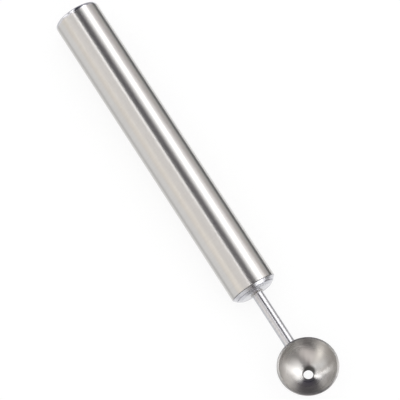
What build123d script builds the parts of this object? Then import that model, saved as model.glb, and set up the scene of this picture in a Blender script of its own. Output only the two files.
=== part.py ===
from build123d import *
from math import sqrt
import os

# A melon baller lies on its handle with the opening of its bowl facing up.
# X runs along the handle, and the bowl is at the +X end. Y runs across, and Z is up.
# The origin is under the middle of the whole tool, at the level that the handle lies on.
# Each piece is made with X counted from the butt and Z from the handle's axis, and placed at the end.

# Handle tube, in millimetres
handle_diameter = 20.0
handle_length = 138.0
tube_wall = 0.8

# Butt cap: a cup pressed into the tube, with a rounded outer edge
butt_edge_radius = 1.4
butt_land = 0.3
butt_plate = 2.6
butt_skirt_depth = 6.0
butt_skirt_wall = 1.2

# Front cap: a bored plug with a bevelled shoulder and a shallow cone round a flat nose
bevel_length = 1.45
bevel_height = 1.5
nose_length = 0.9
nose_diameter = 14.0
nose_round = 0.4
front_plug_depth = 12.0
seam_chamfer = 0.15
plug_clearance = 0.05

# Shank: the rod between the handle and the bowl
shank_diameter = 4.8
shank_clearance = 0.03
tang_past_plug = 2.0
shank_weld_leg = 0.5

# Bowl: part of a hollow ball with a flat rim, which faces up and a little back to the handle
rim_diameter = 25.1
bowl_depth = 9.5
bowl_wall = 0.9
bowl_pitch = 12.3
cap_to_bowl = 36.8
rim_outer_round = 0.2
rim_inner_round = 0.2
bowl_weld_leg = 0.8
# How far down the bowl's depth the middle of the shank meets it
shank_height_share = 0.665

# Drain hole: punched from the inside, so that the wall rolls over into a short collar under the bowl
drain_diameter = 4.1
drain_roll = 0.9
collar_wall = 0.55
collar_drop = 0.5
collar_root_round = 0.5
collar_edge_round = 0.15

# Places that follow from the sizes
handle_radius = handle_diameter / 2
tube_bore_radius = handle_radius - tube_wall
plug_radius = tube_bore_radius - plug_clearance
butt_seam_x = butt_edge_radius + butt_land
shank_radius = shank_diameter / 2
nose_x = handle_length + bevel_length + nose_length
bowl_x = nose_x + cap_to_bowl

rim_radius = rim_diameter / 2
ball_radius = (rim_radius**2 + bowl_depth**2) / (2 * bowl_depth)
ball_height = ball_radius - bowl_depth
hollow_radius = ball_radius - bowl_wall
drain_radius = drain_diameter / 2
collar_radius = drain_radius + collar_wall
collar_end_z = -bowl_depth - collar_drop
rim_z = bowl_depth * shank_height_share
bowl_place = Location((bowl_x, 0, rim_z), (0, -bowl_pitch, 0))


def rounded(face, rounds):
    """The face with some corners rounded. rounds holds pairs of a corner's point and a radius."""
    for point, radius in rounds:
        corner = face.vertices().sort_by_distance(point)[0]
        face = fillet(corner, radius)
    return face


def turned(points, rounds=()):
    """A solid turned about X from points of (x, radius). rounds holds pairs of a point's number and a radius."""
    outline = [Vector(x, 0, radius) for x, radius in points]
    face = make_face(Polyline(*outline, close=True))
    corners = [(outline[number], radius) for number, radius in rounds]
    return revolve(rounded(face, corners), Axis.X)


def made_handle_tube():
    """The tube runs from the butt cap to the front seam, where its edge is broken."""
    return turned([
        (butt_seam_x, tube_bore_radius),
        (butt_seam_x, handle_radius),
        (handle_length - seam_chamfer, handle_radius),
        (handle_length, handle_radius - seam_chamfer),
        (handle_length, tube_bore_radius),
    ])


def made_butt_cap():
    """The cap closes the butt, and its skirt sits inside the tube."""
    skirt_bore_radius = plug_radius - butt_skirt_wall
    skirt_end_x = butt_seam_x + butt_skirt_depth
    return turned([
        (0, 0),
        (0, handle_radius),
        (butt_seam_x, handle_radius),
        (butt_seam_x, plug_radius),
        (skirt_end_x, plug_radius),
        (skirt_end_x, skirt_bore_radius),
        (butt_plate, skirt_bore_radius),
        (butt_plate, 0),
    ], rounds=[(1, butt_edge_radius)])


def made_front_cap():
    """The cap's shoulder seats on the end of the tube, and its bore holds the tang."""
    bore_radius = shank_radius + shank_clearance
    seam_radius = handle_radius - seam_chamfer
    plug_end_x = handle_length - front_plug_depth
    return turned([
        (plug_end_x, bore_radius),
        (plug_end_x, plug_radius),
        (handle_length, plug_radius),
        (handle_length, seam_radius),
        (handle_length + bevel_length, handle_radius - bevel_height),
        (nose_x, nose_diameter / 2),
        (nose_x, bore_radius),
    ], rounds=[(5, nose_round)])


def ball(radius):
    """A ball about the centre that the bowl's wall is struck from, in the bowl's place."""
    return bowl_place * Pos(0, 0, ball_height) * Sphere(radius)


def made_shank():
    """The rod runs from behind the plug to the bowl, and its end is hollowed to fit the bowl."""
    tang_end_x = handle_length - front_plug_depth - tang_past_plug
    rod = turned([
        (tang_end_x, 0),
        (tang_end_x, shank_radius),
        (bowl_x, shank_radius),
        (bowl_x, 0),
    ])
    return rod - ball(ball_radius)


def made_shank_weld():
    """A small bead in the corner between the front cap's nose and the shank."""
    return turned([
        (nose_x, shank_radius),
        (nose_x, shank_radius + shank_weld_leg),
        (nose_x + shank_weld_leg, shank_radius),
    ])


def made_bowl_weld(shank):
    """A bead in the corner between the end of the shank and the ball that the bowl is part of."""
    whole_ball = ball(ball_radius)
    joined = shank + whole_ball
    seam = joined.edges().filter_by(GeomType.BSPLINE)
    return chamfer(seam, bowl_weld_leg) - shank - whole_ball


def sphere_arc(radius, start, end):
    """The shorter arc about the ball's centre between two points of a sphere of that radius."""
    centre = Vector(0, 0, ball_height)
    halfway = (start + end) / 2 - centre
    return ThreePointArc(start, centre + halfway.normalized() * radius, end)


def roll_arc(sphere_radius, wall_radius, roll_radius):
    """The arc that turns a sphere about the ball's centre into a straight wall round the bowl's axis."""
    centre_radius = wall_radius + roll_radius
    fall = sqrt((sphere_radius + roll_radius)**2 - centre_radius**2)
    centre = Vector(centre_radius, 0, ball_height - fall)
    to_sphere = Vector(-centre_radius, 0, fall).normalized()
    to_wall = Vector(-1, 0, 0)
    halfway = (to_sphere + to_wall).normalized()
    start, middle, end = [centre + way * roll_radius for way in (to_sphere, halfway, to_wall)]
    return ThreePointArc(start, middle, end)


def made_bowl():
    """The bowl is turned about its own axis, with the rim at height zero, and then put in its place."""
    rim_bore_radius = sqrt(hollow_radius**2 - ball_height**2)
    rim_outer = Vector(rim_radius, 0, 0)
    rim_inner = Vector(rim_bore_radius, 0, 0)
    inner_roll = roll_arc(hollow_radius, drain_radius, drain_roll)
    root_roll = roll_arc(ball_radius, collar_radius, collar_root_round)
    collar_inner = Vector(drain_radius, 0, collar_end_z)
    collar_outer = Vector(collar_radius, 0, collar_end_z)
    face = make_face([
        Line(rim_outer, rim_inner),
        sphere_arc(hollow_radius, rim_inner, inner_roll @ 0),
        inner_roll,
        Line(inner_roll @ 1, collar_inner),
        Line(collar_inner, collar_outer),
        Line(collar_outer, root_roll @ 1),
        root_roll,
        sphere_arc(ball_radius, root_roll @ 0, rim_outer),
    ])
    face = rounded(face, [
        (rim_outer, rim_outer_round),
        (rim_inner, rim_inner_round),
        (collar_outer, collar_edge_round),
    ])
    return bowl_place * revolve(face, Axis.Z)


shank = made_shank()
pieces = {
    "handle_tube": made_handle_tube(),
    "butt_cap": made_butt_cap(),
    "front_cap": made_front_cap(),
    "shank": shank,
    "shank_weld": made_shank_weld(),
    "bowl": made_bowl(),
    "bowl_weld": made_bowl_weld(shank),
}

box = Compound(list(pieces.values())).bounding_box()
middle = box.center()
to_origin = Pos(-middle.X, -middle.Y, -box.min.Z)

os.makedirs("parts", exist_ok=True)
for name, piece in pieces.items():
    export_step(to_origin * piece, f"parts/{name}.step")
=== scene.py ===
from math import cos, pi, radians, sin, sqrt, tan

import bmesh
import bpy
from mathutils import Matrix, Quaternion, Vector


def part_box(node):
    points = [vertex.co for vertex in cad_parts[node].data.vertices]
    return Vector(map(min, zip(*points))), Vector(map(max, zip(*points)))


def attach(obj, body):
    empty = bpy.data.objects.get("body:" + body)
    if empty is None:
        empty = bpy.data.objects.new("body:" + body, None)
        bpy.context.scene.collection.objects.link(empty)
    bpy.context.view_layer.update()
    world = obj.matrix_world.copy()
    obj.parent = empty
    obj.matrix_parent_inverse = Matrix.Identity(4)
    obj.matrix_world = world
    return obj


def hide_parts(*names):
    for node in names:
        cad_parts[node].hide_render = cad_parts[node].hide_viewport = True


# A melon baller of satin steel lies on a pale floor.
# Lengths are in millimetres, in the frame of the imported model, and become metres as each mesh is made.

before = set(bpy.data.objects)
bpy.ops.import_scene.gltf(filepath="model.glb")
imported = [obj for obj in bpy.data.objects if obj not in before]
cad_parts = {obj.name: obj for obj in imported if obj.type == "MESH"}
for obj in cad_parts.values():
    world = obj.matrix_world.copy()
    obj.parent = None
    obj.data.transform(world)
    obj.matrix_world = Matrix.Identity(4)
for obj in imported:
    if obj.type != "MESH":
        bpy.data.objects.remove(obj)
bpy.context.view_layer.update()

MM = 0.001


def box_mm(node):
    """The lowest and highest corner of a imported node, in millimetres."""
    return [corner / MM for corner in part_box(node)]


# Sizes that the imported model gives
tube_low, tube_high = box_mm("handle_tube")
butt_x = box_mm("butt_cap")[0].x
tang_x = box_mm("shank")[0].x
plug_x = box_mm("front_cap")[0].x
nose_x = box_mm("front_cap")[1].x
butt_seam_x = tube_low.x
front_seam_x = tube_high.x
axis_height = (tube_low.z + tube_high.z) / 2
handle_radius = (tube_high.z - tube_low.z) / 2

# Handle and caps
tube_wall = 0.8
butt_round = 1.4
butt_plate = 2.6
butt_skirt_depth = 6.0
butt_skirt_wall = 1.2
plug_clearance = 0.05
bevel_length = 1.45
bevel_height = 1.5
nose_radius = 7.0
nose_round = 0.4
seam_groove_half_width = 0.14
seam_groove_depth = 0.4
edge_groove_half_width = 0.2
edge_groove_depth = 0.5

# Shank
shank_radius = 2.4
shank_clearance = 0.03
shank_rings = 24
shank_end_rings = 5
# How far before the ball the rod's straight rings stop
shank_end_margin = 0.5

# Bowl, in its own frame: height zero at the rim, and the axis up
rim_radius = 12.55
bowl_depth = 9.5
bowl_wall = 0.9
bowl_pitch = radians(12.3)
cap_to_bowl = 36.8
shank_height_share = 0.665
rim_outer_round = 0.2
rim_inner_round = 0.2
drain_radius = 2.05
drain_roll = 0.9
collar_wall = 0.55
collar_drop = 0.5
collar_root_round = 0.5
collar_edge_round = 0.15

# Weld beads
shank_bead_leg = 0.5
shank_bead_crown = 0.05
shank_bead_ripples = 26
bowl_bead_leg = 0.8
bowl_bead_crown = 0.07
bowl_bead_ripples = 22
ripple_height = 0.03
second_wave_share = 0.4
second_wave_extra = 3
second_wave_start = 1.0

# Fineness of the meshes
segments = 192
arc_step = 0.3
arc_least_steps = 2
round_steps = 6
sharp_angle = radians(28.0)

# Places that follow from the sizes
bore_radius = handle_radius - tube_wall
plug_radius = bore_radius - plug_clearance
ball_radius = (rim_radius**2 + bowl_depth**2) / (2 * bowl_depth)
ball_height = ball_radius - bowl_depth
hollow_radius = ball_radius - bowl_wall
bowl_x = nose_x + cap_to_bowl
rim_height = axis_height + bowl_depth * shank_height_share
handle_place = Matrix.Translation((0, 0, axis_height)) @ Matrix.Rotation(pi / 2, 4, "Y")
bowl_place = Matrix.Translation((bowl_x, 0, rim_height)) @ Matrix.Rotation(-bowl_pitch, 4, "Y")
ball_centre = bowl_place @ Vector((0, 0, ball_height))
bowl_axis = bowl_place.to_3x3() @ Vector((0, 0, 1))


def piece_from(name, node, slot_name, material, points, faces):
    """A closed mesh from points in millimetres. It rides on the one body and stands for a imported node."""
    mesh = bpy.data.meshes.new(name)
    mesh.from_pydata([point * MM for point in points], [], faces)
    work = bmesh.new()
    work.from_mesh(mesh)
    bmesh.ops.recalc_face_normals(work, faces=work.faces)
    work.to_mesh(mesh)
    work.free()
    mesh.shade_smooth()
    mesh.set_sharp_from_angle(angle=sharp_angle)
    mesh.materials.append(material)
    piece = bpy.data.objects.new(name, mesh)
    bpy.context.collection.objects.link(piece)
    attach(piece, "root")
    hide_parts(node)
    return piece


def around(count):
    """Evenly spaced angles of a full turn."""
    return [2 * pi * number / count for number in range(count)]


def turned_mesh(outline, place, closed=False, fit=None):
    """Points and faces of an outline of (radius, height) turned about the place's own Z axis.

    A closed outline makes a ring. An open one starts and ends on the axis.
    """
    points, rows = [], []
    for radius, height in outline:
        angles = around(segments) if radius > 0 else [0.0]
        first = len(points)
        for angle in angles:
            point = place @ Vector((radius * cos(angle), radius * sin(angle), height))
            points.append(fit(point) if fit else point)
        step = 1 if radius > 0 else 0
        rows.append([first + step * number for number in range(segments)])
    pairs = list(zip(rows, rows[1:]))
    if closed:
        pairs.append((rows[-1], rows[0]))
    faces = []
    for low, high in pairs:
        for number in range(segments):
            after = (number + 1) % segments
            corners = [low[number], low[after], high[after], high[number]]
            faces.append(list(dict.fromkeys(corners)))
    return points, faces


def arc(centre, start, end, steps=None):
    """Points on the shorter arc about a centre from start to end, both included."""
    spoke = start - centre
    turn = spoke.angle_signed(end - centre)
    if steps is None:
        steps = max(arc_least_steps, round(abs(turn) * spoke.length / arc_step))
    return [centre + Matrix.Rotation(-turn * number / steps, 2) @ spoke for number in range(steps + 1)]


def rounded(outline, rounds):
    """The outline with some corners rounded. rounds gives a radius for each corner's point."""
    result = []
    for number, corner in enumerate(outline):
        radius = rounds.get(tuple(corner))
        if radius is None:
            result.append(corner)
            continue
        to_before = (outline[number - 1] - corner).normalized()
        to_after = (outline[(number + 1) % len(outline)] - corner).normalized()
        half_angle = to_before.angle(to_after) / 2
        reach = radius / tan(half_angle)
        centre = corner + (to_before + to_after).normalized() * (radius / sin(half_angle))
        result.extend(arc(centre, corner + to_before * reach, corner + to_after * reach, round_steps))
    return result


def grooved(before, corner, after, half_width, depth):
    """The three points of a fine V groove along a corner of an outline."""
    to_before, to_after = (before - corner).normalized(), (after - corner).normalized()
    inward = (to_before + to_after).normalized()
    return [corner + to_before * half_width, corner + inward * depth, corner + to_after * half_width]


def outline_of(*pairs):
    """Outline points from pairs of (radius, height)."""
    return [Vector(pair) for pair in pairs]


def spaced(start, end, steps):
    """Values from start to end, both included."""
    return [start + (end - start) * number / steps for number in range(steps + 1)]


def make_handle_tube(material):
    """The tube. Its front edge is broken, so that its seam with the front cap shows as a fine line."""
    outline = outline_of(
        (bore_radius, butt_seam_x),
        (handle_radius, butt_seam_x),
        (handle_radius, front_seam_x - seam_groove_half_width),
        (handle_radius - seam_groove_depth, front_seam_x),
        (bore_radius, front_seam_x),
    )
    points, faces = turned_mesh(outline, handle_place, closed=True)
    return piece_from("handle_tube_fine", "handle_tube", "tube_steel", material, points, faces)


def make_butt_cap(material):
    """The cap closes the butt, and its skirt sits inside the tube."""
    skirt_bore = plug_radius - butt_skirt_wall
    skirt_end = butt_seam_x + butt_skirt_depth
    edge = Vector((handle_radius, butt_x))
    outline = outline_of(
        (0, butt_x),
        edge,
        (handle_radius, butt_seam_x),
        (plug_radius, butt_seam_x),
        (plug_radius, skirt_end),
        (skirt_bore, skirt_end),
        (skirt_bore, butt_x + butt_plate),
        (0, butt_x + butt_plate),
    )
    outline = rounded(outline, {tuple(edge): butt_round})
    points, faces = turned_mesh(outline, handle_place)
    return piece_from("butt_cap_fine", "butt_cap", "cap_steel", material, points, faces)


def make_front_cap(material):
    """The cap's shoulder seats on the tube's end, then come a bevel, a shallow cone and a flat nose.

    A fine groove marks the seam with the tube, and another runs between the bevel and the cone.
    """
    cap_bore = shank_radius + shank_clearance
    seat = Vector((plug_radius, front_seam_x))
    seam_bottom = Vector((handle_radius - seam_groove_depth, front_seam_x))
    shoulder = Vector((handle_radius - seam_groove_half_width, front_seam_x + seam_groove_half_width))
    bevel_end = Vector((handle_radius - bevel_height, front_seam_x + bevel_length))
    nose_edge = Vector((nose_radius, nose_x))
    outline = [
        *outline_of((cap_bore, plug_x), (plug_radius, plug_x)),
        seat,
        seam_bottom,
        shoulder,
        *grooved(shoulder, bevel_end, nose_edge, edge_groove_half_width, edge_groove_depth),
        nose_edge,
        Vector((cap_bore, nose_x)),
    ]
    outline = rounded(outline, {tuple(nose_edge): nose_round})
    points, faces = turned_mesh(outline, handle_place, closed=True)
    return piece_from("front_cap_fine", "front_cap", "cap_steel", material, points, faces)


def ball_face_x(y, z):
    """Where a line along X first meets the outside of the bowl's ball."""
    off_centre = (y - ball_centre.y)**2 + (z - ball_centre.z)**2
    return ball_centre.x - sqrt(ball_radius**2 - off_centre)


def outside_ball(point):
    """The point, or where it leaves the ball when it is pulled back along X."""
    face_x = ball_face_x(point.y, point.z)
    return Vector((min(point.x, face_x), point.y, point.z))


def make_shank(material):
    """The rod runs from behind the front cap's plug to the bowl, and its end fits the ball."""
    straight_end = ball_face_x(0, axis_height + shank_radius) - shank_end_margin
    side = [(shank_radius, x) for x in spaced(tang_x, straight_end, shank_rings)]
    end = [(radius, bowl_x) for radius in spaced(shank_radius, 0, shank_end_rings)]
    outline = outline_of((0, tang_x), *side, *end)
    points, faces = turned_mesh(outline, handle_place, fit=outside_ball)
    return piece_from("shank_fine", "shank", "shank_steel", material, points, faces)


def bead_section(corner, along_one, along_two, crown):
    """A bead's section: the corner, and a face from wall to wall whose bulge is the crown at its middle."""
    one, two = corner + along_one, corner + along_two
    outward = ((one + two) / 2 - corner).normalized()
    section = [corner]
    for share in spaced(0, 1, round_steps):
        bulge = outward * crown * 4 * share * (1 - share)
        section.append(one.lerp(two, share) + bulge)
    return section


def ring_mesh(sections):
    """Points and faces that join sections of equal length into one ring."""
    size = len(sections[0])
    points = [point for section in sections for point in section]
    faces = []
    for number in range(len(sections)):
        here, there = number * size, (number + 1) % len(sections) * size
        for corner in range(size):
            after = (corner + 1) % size
            faces.append([here + corner, here + after, there + after, there + corner])
    return points, faces


def rippled(crown, ripples, angle):
    """A bead's crown at an angle round the shank: even ripples that a second wave makes a little uneven."""
    second_wave = cos((ripples / 2 + second_wave_extra) * angle + second_wave_start)
    return crown + ripple_height * (cos(ripples * angle) + second_wave_share * second_wave)


def make_shank_bead(material):
    """The bead in the corner between the front cap's nose and the shank."""
    sections = []
    for angle in around(segments):
        away = Vector((0, cos(angle), sin(angle)))
        corner = Vector((nose_x, 0, axis_height)) + away * shank_radius
        crown = rippled(shank_bead_crown, shank_bead_ripples, angle)
        sections.append(bead_section(corner, away * shank_bead_leg, Vector((shank_bead_leg, 0, 0)), crown))
    return piece_from("shank_bead", "shank_weld", "weld_steel", material, *ring_mesh(sections))


def make_bowl_bead(material):
    """The bead in the corner between the end of the shank and the ball."""
    sections = []
    for angle in around(segments):
        away = Vector((0, cos(angle), sin(angle)))
        start = Vector((0, 0, axis_height)) + away * shank_radius
        corner = outside_ball(Vector((bowl_x, start.y, start.z)))
        spoke = corner - ball_centre
        up_ball = away - spoke * away.dot(spoke) / ball_radius**2
        on_ball = corner + up_ball.normalized() * bowl_bead_leg
        on_ball = ball_centre + (on_ball - ball_centre).normalized() * ball_radius
        crown = rippled(bowl_bead_crown, bowl_bead_ripples, angle)
        sections.append(bead_section(corner, Vector((-bowl_bead_leg, 0, 0)), on_ball - corner, crown))
    return piece_from("bowl_bead", "bowl_weld", "weld_steel", material, *ring_mesh(sections))


def roll_arc(sphere_radius, wall_radius, roll_radius):
    """The arc that turns a sphere about the ball's centre into a straight wall round the bowl's axis."""
    centre_radius = wall_radius + roll_radius
    fall = sqrt((sphere_radius + roll_radius)**2 - centre_radius**2)
    centre = Vector((centre_radius, ball_height - fall))
    to_sphere = Vector((-centre_radius, fall)).normalized() * roll_radius
    to_wall = Vector((-roll_radius, 0))
    return arc(centre, centre + to_sphere, centre + to_wall)


def make_bowl(material):
    """The bowl's outline goes from the rim down the inside, through the hole and up the outside."""
    ball_middle = Vector((0, ball_height))
    rim_outer = Vector((rim_radius, 0))
    rim_inner = Vector((sqrt(hollow_radius**2 - ball_height**2), 0))
    inner_roll = roll_arc(hollow_radius, drain_radius, drain_roll)
    root_roll = roll_arc(ball_radius, drain_radius + collar_wall, collar_root_round)
    collar_end = -bowl_depth - collar_drop
    collar_outer = Vector((drain_radius + collar_wall, collar_end))
    outline = [
        *arc(ball_middle, rim_inner, inner_roll[0])[:-1],
        *inner_roll,
        Vector((drain_radius, collar_end)),
        collar_outer,
        *reversed(root_roll),
        *arc(ball_middle, root_roll[0], rim_outer)[1:],
    ]
    rounds = {tuple(rim_inner): rim_inner_round, tuple(collar_outer): collar_edge_round}
    rounds[tuple(outline[-1])] = rim_outer_round
    outline = rounded(outline, rounds)
    points, faces = turned_mesh(outline, bowl_place, closed=True)
    return piece_from("bowl_fine", "bowl", "bowl_steel", material, points, faces)


# Materials

steel_colour = (0.592, 0.580, 0.564)
cap_colour = (0.615, 0.615, 0.645)
shank_colour = (0.580, 0.582, 0.605)
weld_colour = (0.42, 0.41, 0.40)

# Rings of polish: the spread of a reflection is turned by a quarter turn, so that it goes across them
quarter_turn = 0.25
roughness_swing = 0.015
line_detail = 3.0
line_breakup = 0.6
line_waver = 0.03

# Clouds: faint patches of tone over all the steel
cloud_scale = 90.0
cloud_detail = 2.0
cloud_swing = 0.015

# Most of a noise's values lie between these two
noise_low = 0.3
noise_high = 0.7

# Painted shade darkens one side of the drain hole's rolled edge, which is also duller; the rim is ground
hole_shade_radius = 2.35
hole_shade_blend = 0.65
hole_shade_strength = 0.75
punched_rough = 0.2
hole_shade_aside = Vector((-0.65, 0.89, 0.0))
ground_height = 0.06
ground_blend = 0.04
ground_dark = 0.1
ground_rough = 0.15


def node_in(tree, kind, inputs=None, **settings):
    """A new node with its settings, and its inputs set to values or linked from other nodes' outputs."""
    made = tree.nodes.new(kind)
    for key, value in settings.items():
        setattr(made, key, value)
    for key, value in (inputs or {}).items():
        if isinstance(value, bpy.types.NodeSocket):
            tree.links.new(value, made.inputs[key])
        else:
            made.inputs[key].default_value = value
    return made


def math_in(tree, operation, *values):
    """The output of a Math node over values or other nodes' outputs."""
    return node_in(tree, "ShaderNodeMath", dict(enumerate(values)), operation=operation).outputs[0]


def vector_in(tree, operation, *values, output=0):
    """The output of a Vector Math node over values or other nodes' outputs."""
    made = node_in(tree, "ShaderNodeVectorMath", dict(enumerate(values)), operation=operation)
    return made.outputs[output]


def scaled(tree, vector, factor):
    """A vector scaled by a value or another node's output."""
    return node_in(tree, "ShaderNodeVectorMath", {0: vector, "Scale": factor}, operation="SCALE").outputs[0]


def soft_step(tree, value, start, end):
    """Rises smoothly from zero to one as a value goes from start to end."""
    return node_in(tree, "ShaderNodeMapRange", {
        "Value": value, "From Min": start, "From Max": end,
    }, interpolation_type="SMOOTHSTEP").outputs[0]


def noise_spread(tree, noise, middle, swing):
    """A value about a middle, which a noise moves by up to the swing both ways."""
    return node_in(tree, "ShaderNodeMapRange", {
        "Value": noise, "From Min": noise_low, "From Max": noise_high,
        "To Min": middle - swing, "To Max": middle + swing,
    }).outputs[0]


def ring_grain(tree, from_centre, axis):
    """Coordinates whose noise runs in rings round an axis, with a slight waver."""
    height = vector_in(tree, "DOT_PRODUCT", from_centre, tuple(axis), output="Value")
    spoke = vector_in(tree, "SUBTRACT", from_centre, scaled(tree, tuple(axis), height))
    radius = vector_in(tree, "LENGTH", spoke, output="Value")
    rings = node_in(tree, "ShaderNodeCombineXYZ", {"X": height, "Y": radius}).outputs[0]
    return vector_in(tree, "ADD", rings, scaled(tree, from_centre, line_waver))


def darkened_and_dulled(tree, shade, rough, mask, darker, duller):
    """The shade and the roughness, where a mask makes the steel darker and duller."""
    # Beside the drain hole this darkening is painted shade; on the ground rim it is the steel's own tone
    kept = math_in(tree, "MULTIPLY_ADD", mask, -darker, 1.0)
    return math_in(tree, "MULTIPLY", shade, kept), math_in(tree, "MULTIPLY_ADD", mask, duller, rough)


def hole_shade_mask(tree, place, axis, centre):
    """One beside an axis through a centre, and zero away from it."""
    # Painted shade: the centre lies beside the hole's axis, so the mask darkens one side of its rolled edge
    from_hole = vector_in(tree, "SUBTRACT", place, tuple(centre * MM))
    round_hole = vector_in(tree, "CROSS_PRODUCT", tuple(axis), from_hole)
    across = vector_in(tree, "LENGTH", round_hole, output="Value")
    inner, outer = hole_shade_radius - hole_shade_blend, hole_shade_radius + hole_shade_blend
    return soft_step(tree, across, outer * MM, inner * MM)


def ground_mask(tree, from_centre, axis, height):
    """One above a height along an axis, and zero below it."""
    along = vector_in(tree, "DOT_PRODUCT", from_centre, tuple(axis), output="Value")
    low, high = height - ground_blend, height + ground_blend
    return soft_step(tree, along, low * MM, high * MM)


def steel(
    name, centre, axis, line_scale, line_depth, colour=steel_colour, tone_swing=0.03,
    roughness=0.30, anisotropy=0.95, hole_shade_centre=None, ground_from=None,
):
    """Steel polished in rings round an axis: it spreads a reflection across them and hardly along them.

    The rings show in the bump, the roughness and a faint change of tone. Painted shade darkens one side of
    a drain hole's rolled edge, where the steel is also duller, and the steel is a little darker and duller
    above the height along the axis from which it is ground.
    """
    material = bpy.data.materials.new(name)
    material.use_nodes = True
    tree = material.node_tree
    shader = tree.nodes["Principled BSDF"]
    shader.inputs["Metallic"].default_value = 1.0
    shader.inputs["Anisotropic"].default_value = anisotropy
    shader.inputs["Anisotropic Rotation"].default_value = quarter_turn
    place = node_in(tree, "ShaderNodeTexCoord").outputs["Object"]
    from_centre = vector_in(tree, "SUBTRACT", place, tuple(centre * MM))
    along_ring = vector_in(tree, "CROSS_PRODUCT", tuple(axis), from_centre)
    tree.links.new(vector_in(tree, "NORMALIZE", along_ring), shader.inputs["Tangent"])
    lines = node_in(tree, "ShaderNodeTexNoise", {
        "Vector": ring_grain(tree, from_centre, axis), "Scale": line_scale,
        "Detail": line_detail, "Roughness": line_breakup,
    }).outputs["Fac"]
    clouds = node_in(tree, "ShaderNodeTexNoise", {
        "Vector": place, "Scale": cloud_scale, "Detail": cloud_detail,
    }).outputs["Fac"]
    tone = noise_spread(tree, lines, 1.0, tone_swing)
    patch = noise_spread(tree, clouds, 1.0, cloud_swing)
    shade = math_in(tree, "MULTIPLY", tone, patch)
    rough = noise_spread(tree, lines, roughness, roughness_swing)
    # Painted shade on one side of the drain hole, where the steel is also duller
    if hole_shade_centre is not None:
        hole_shade = hole_shade_mask(tree, place, axis, hole_shade_centre)
        shade, rough = darkened_and_dulled(tree, shade, rough, hole_shade, hole_shade_strength, punched_rough)
    if ground_from is not None:
        ground = ground_mask(tree, from_centre, axis, ground_from)
        shade, rough = darkened_and_dulled(tree, shade, rough, ground, ground_dark, ground_rough)
    tree.links.new(scaled(tree, colour, shade), shader.inputs["Base Color"])
    tree.links.new(rough, shader.inputs["Roughness"])
    bump = node_in(tree, "ShaderNodeBump", {"Strength": 1.0, "Distance": line_depth, "Height": lines})
    tree.links.new(bump.outputs[0], shader.inputs["Normal"])
    return material


handle_axis = Vector((1, 0, 0))
handle_centre = Vector((0, 0, axis_height))

# The scale of the lines is roughly how many there are to a metre, and their depth is in metres
tube_steel = steel("tube_steel", handle_centre, handle_axis, line_scale=3200.0, line_depth=0.6e-6)
cap_steel = steel(
    "cap_steel", handle_centre, handle_axis, line_scale=3600.0, line_depth=0.4e-6,
    colour=cap_colour, roughness=0.255, anisotropy=0.79,
)
shank_steel = steel(
    "shank_steel", handle_centre, handle_axis, line_scale=850.0, line_depth=1.5e-6,
    colour=shank_colour, tone_swing=0.12,
)
# The bowl's steel carries painted shade on one side of its drain hole
bowl_steel = steel(
    "bowl_steel", ball_centre, bowl_axis, line_scale=2600.0, line_depth=0.6e-6,
    roughness=0.282, anisotropy=0.895,
    hole_shade_centre=ball_centre + hole_shade_aside, ground_from=-ball_height - ground_height,
)
weld_steel = steel(
    "weld_steel", handle_centre, handle_axis, line_scale=2500.0, line_depth=4.0e-6,
    colour=weld_colour, anisotropy=0.4,
)

make_handle_tube(tube_steel)
make_butt_cap(cap_steel)
make_front_cap(cap_steel)
make_shank(shank_steel)
make_shank_bead(weld_steel)
make_bowl(bowl_steel)
make_bowl_bead(weld_steel)


# Studio

floor_size = 4000.0
floor_glow_share = 0.78
floor_white = 1.03
floor_grain_scale = 400.0
floor_grain_detail = 2.0
floor_darkest = 0.97
card_height = 0.3


def flat_sheet(name, low, high, height):
    """A flat rectangle of the studio between two corners, and the empty node tree of its material."""
    mesh = bpy.data.meshes.new(name)
    corners = [(low[0], low[1]), (high[0], low[1]), (high[0], high[1]), (low[0], high[1])]
    mesh.from_pydata([Vector((*corner, height)) * MM for corner in corners], [], [[0, 1, 2, 3]])
    sheet = bpy.data.objects.new(name, mesh)
    bpy.context.collection.objects.link(sheet)
    material = bpy.data.materials.new(name)
    material.use_nodes = True
    material.node_tree.nodes.clear()
    mesh.materials.append(material)
    return sheet, material.node_tree


def make_floor():
    """A plain pale floor. Part of its light is its own, so that the object's shadow stays faint."""
    half = floor_size / 2
    floor, tree = flat_sheet("floor", (-half, -half), (half, half), 0)
    grain = node_in(tree, "ShaderNodeTexNoise", {
        "Scale": floor_grain_scale, "Detail": floor_grain_detail,
    }).outputs["Fac"]
    tone = node_in(tree, "ShaderNodeMapRange", {
        "Value": grain, "To Min": floor_darkest, "To Max": 1.0,
    }).outputs[0]
    matt = node_in(tree, "ShaderNodeBsdfDiffuse", {"Color": tone}).outputs[0]
    glow = node_in(tree, "ShaderNodeEmission", {"Color": (1, 1, 1, 1), "Strength": floor_white}).outputs[0]
    mix = node_in(tree, "ShaderNodeMixShader", {0: floor_glow_share, 1: matt, 2: glow}).outputs[0]
    out = node_in(tree, "ShaderNodeOutputMaterial")
    tree.links.new(mix, out.inputs["Surface"])


def make_card(name, low, high, level):
    """A grey card that lies on the floor and shows only in the object's reflections."""
    card, tree = flat_sheet(name, low, high, card_height)
    grey = (level, level, level, 1.0)
    glow = node_in(tree, "ShaderNodeEmission", {"Color": grey, "Strength": 1.0}).outputs[0]
    out = node_in(tree, "ShaderNodeOutputMaterial")
    tree.links.new(glow, out.inputs["Surface"])
    for ray in ("camera", "diffuse", "transmission", "volume_scatter", "shadow"):
        setattr(card, "visible_" + ray, False)


make_floor()

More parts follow.
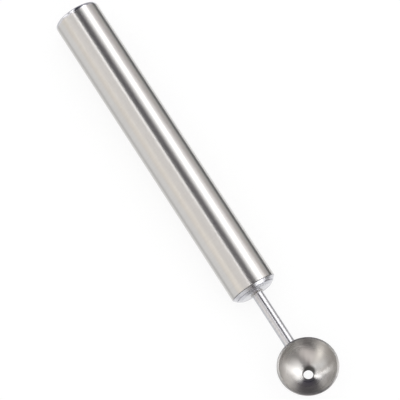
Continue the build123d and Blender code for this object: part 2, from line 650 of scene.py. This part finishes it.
# Two cards beyond the handle, and two of painted shadow: the handle's on its near side, the bowl's under it
make_card("dark_card", low=(-160.0, 30.0), high=(125.0, 72.0), level=0.12)
make_card("grey_card", low=(-260.0, 72.0), high=(260.0, 900.0), level=0.57)
make_card("near_shadow_card", low=(-160.0, -27.0), high=(125.0, -17.0), level=0.74)
make_card("bowl_shadow_card", low=(70.0, -15.0), high=(100.0, 15.0), level=0.15)

# Tints of the lights
plain = (1.0, 1.0, 1.0)
warm = (1.055, 1.0, 0.93)
brown = (1.05, 0.985, 0.96)
navy = (0.0, 0.1, 1.0)
violet = (0.2, 0.0, 1.0)

# What a reflection shows where there is no soft box and no card
surround_level = 0.71
surround_tint = brown

# Each soft box or dark card round the object: where it is, its half width and height as seen from the
# object, in degrees, how soft its edge is, and how bright it is. Bearings turn from +X towards +Y.
# Where two overlap, the later one is in front.
soft_boxes = [
    # bearing, elevation, turn, half width, half height, edge, level, tint
    # near side
    (286.0, 11.5, -11.5, 67.5, 56.5, 2.5, 0.82, warm),
    (279.5, 15.0, 29.5, 8.5, 19.0, 10.0, 2.05, warm),
    (212.5, 12.0, -27.0, 11.0, 5.0, 3.5, 4.5, plain),
    # bowl end
    (4.0, 23.5, -8.0, 64.5, 20.5, 1.5, 0.0, plain),
    (-34.0, 52.5, -14.5, 28.5, 25.5, 2.0, 1.06, brown),
    (31.0, -0.5, -1.0, 23.0, 10.0, 4.5, 4.2, plain),
    # far side
    (75.5, 22.5, -3.0, 14.0, 5.5, 7.0, 3.7, plain),
    (116.5, 53.5, -120.0, 24.0, 28.5, 11.5, 3.3, plain),
    # overhead
    (197.0, 72.0, 58.5, 25.0, 5.5, 1.0, 0.03, navy),
    # butt end
    (180.0, 46.5, 1.0, 18.0, 31.0, 2.5, 4.8, plain),
    (163.5, 25.5, 2.5, 27.0, 67.0, 8.5, 0.02, navy),
    # smaller ones, overhead and low
    (223.0, 50.0, -1.0, 10.0, 7.5, 2.5, 0.15, plain),
    (236.5, 41.5, -10.5, 13.0, 24.0, 2.5, 1.12, plain),
    (187.0, 32.0, 0.0, 6.5, 7.5, 2.5, 4.5, plain),
    (193.0, 12.0, 0.0, 12.0, 9.0, 3.0, 0.06, violet),
    (3.5, 63.0, -15.5, 12.0, 9.5, 3.0, 0.2, plain),
    (141.0, 11.5, 5.5, 23.0, 16.0, 2.5, 0.06, violet),
    (-60.0, 75.5, -4.0, 4.0, 3.0, 4.0, 0.0, plain),
    (59.0, 50.0, -3.0, 8.5, 14.0, 10.0, 1.3, plain),
]


def direction_of(bearing, elevation):
    """A unit vector from a bearing and an elevation in degrees."""
    turn, rise = radians(bearing), radians(elevation)
    return Vector((cos(turn) * cos(rise), sin(turn) * cos(rise), sin(rise)))


def box_mask(tree, direction, bearing, elevation, turn, half_width, half_height, edge):
    """One inside a soft box and zero outside, with a soft edge."""
    ahead = direction_of(bearing, elevation)
    up = direction_of(bearing, elevation + 90.0)
    side = up.cross(ahead)
    rolled = Quaternion(ahead, radians(turn))
    side.rotate(rolled)
    up.rotate(rolled)
    depth = vector_in(tree, "DOT_PRODUCT", direction, tuple(ahead), output="Value")
    # Only the half of the surroundings that holds the soft box counts
    mask = math_in(tree, "GREATER_THAN", depth, 0.0)
    for way, half in ((side, half_width), (up, half_height)):
        offset = vector_in(tree, "DOT_PRODUCT", direction, tuple(way), output="Value")
        angle = math_in(tree, "ABSOLUTE", math_in(tree, "ARCTAN2", offset, depth))
        inside = soft_step(tree, angle, radians(half + edge), radians(half - edge))
        mask = math_in(tree, "MULTIPLY", mask, inside)
    return mask


def lit(level, tint):
    """A light's colour: its tint at its level."""
    return (*[level * share for share in tint], 1.0)


# The sockets of a Mix node that count when it mixes colours
mix_factor, mix_first, mix_second, mix_result = 0, 6, 7, 2


def colour_mix(tree, factor, first, second):
    """The output of a Mix node between two colours."""
    mix = node_in(tree, "ShaderNodeMix", {
        mix_factor: factor, mix_first: first, mix_second: second,
    }, data_type="RGBA")
    return mix.outputs[mix_result]


def make_world():
    """A white studio. Reflections show its soft boxes and dark cards, and all else sees plain white."""
    world = bpy.data.worlds.new("studio")
    bpy.context.scene.world = world
    world.use_nodes = True
    tree = world.node_tree
    tree.nodes.clear()
    direction = node_in(tree, "ShaderNodeTexCoord").outputs["Generated"]
    light = lit(surround_level, surround_tint)
    for *box, level, tint in soft_boxes:
        light = colour_mix(tree, box_mask(tree, direction, *box), light, lit(level, tint))
    mirrored = node_in(tree, "ShaderNodeLightPath").outputs["Is Glossy Ray"]
    light = colour_mix(tree, mirrored, lit(1.0, plain), light)
    back = node_in(tree, "ShaderNodeBackground", {"Color": light, "Strength": 1.0}).outputs[0]
    out = node_in(tree, "ShaderNodeOutputWorld")
    tree.links.new(back, out.inputs["Surface"])


make_world()

# Camera
camera_place = Vector((167.29, -144.59, 778.90))
camera_target = Vector((0.69, 1.31, 10.0))
camera_roll = radians(9.2527)
sensor_width = 36.0
lens_length = 176.04


def make_camera():
    """The camera of the photograph."""
    data = bpy.data.cameras.new("camera")
    data.sensor_width = sensor_width
    data.lens = lens_length
    camera = bpy.data.objects.new("camera", data)
    bpy.context.collection.objects.link(camera)
    camera.location = camera_place * MM
    aim = (camera_target - camera_place).to_track_quat("-Z", "Y")
    camera.rotation_mode = "QUATERNION"
    camera.rotation_quaternion = aim @ Quaternion((0, 0, 1), camera_roll)
    bpy.context.scene.camera = camera


make_camera()
bpy.context.scene.view_settings.view_transform = "Standard"
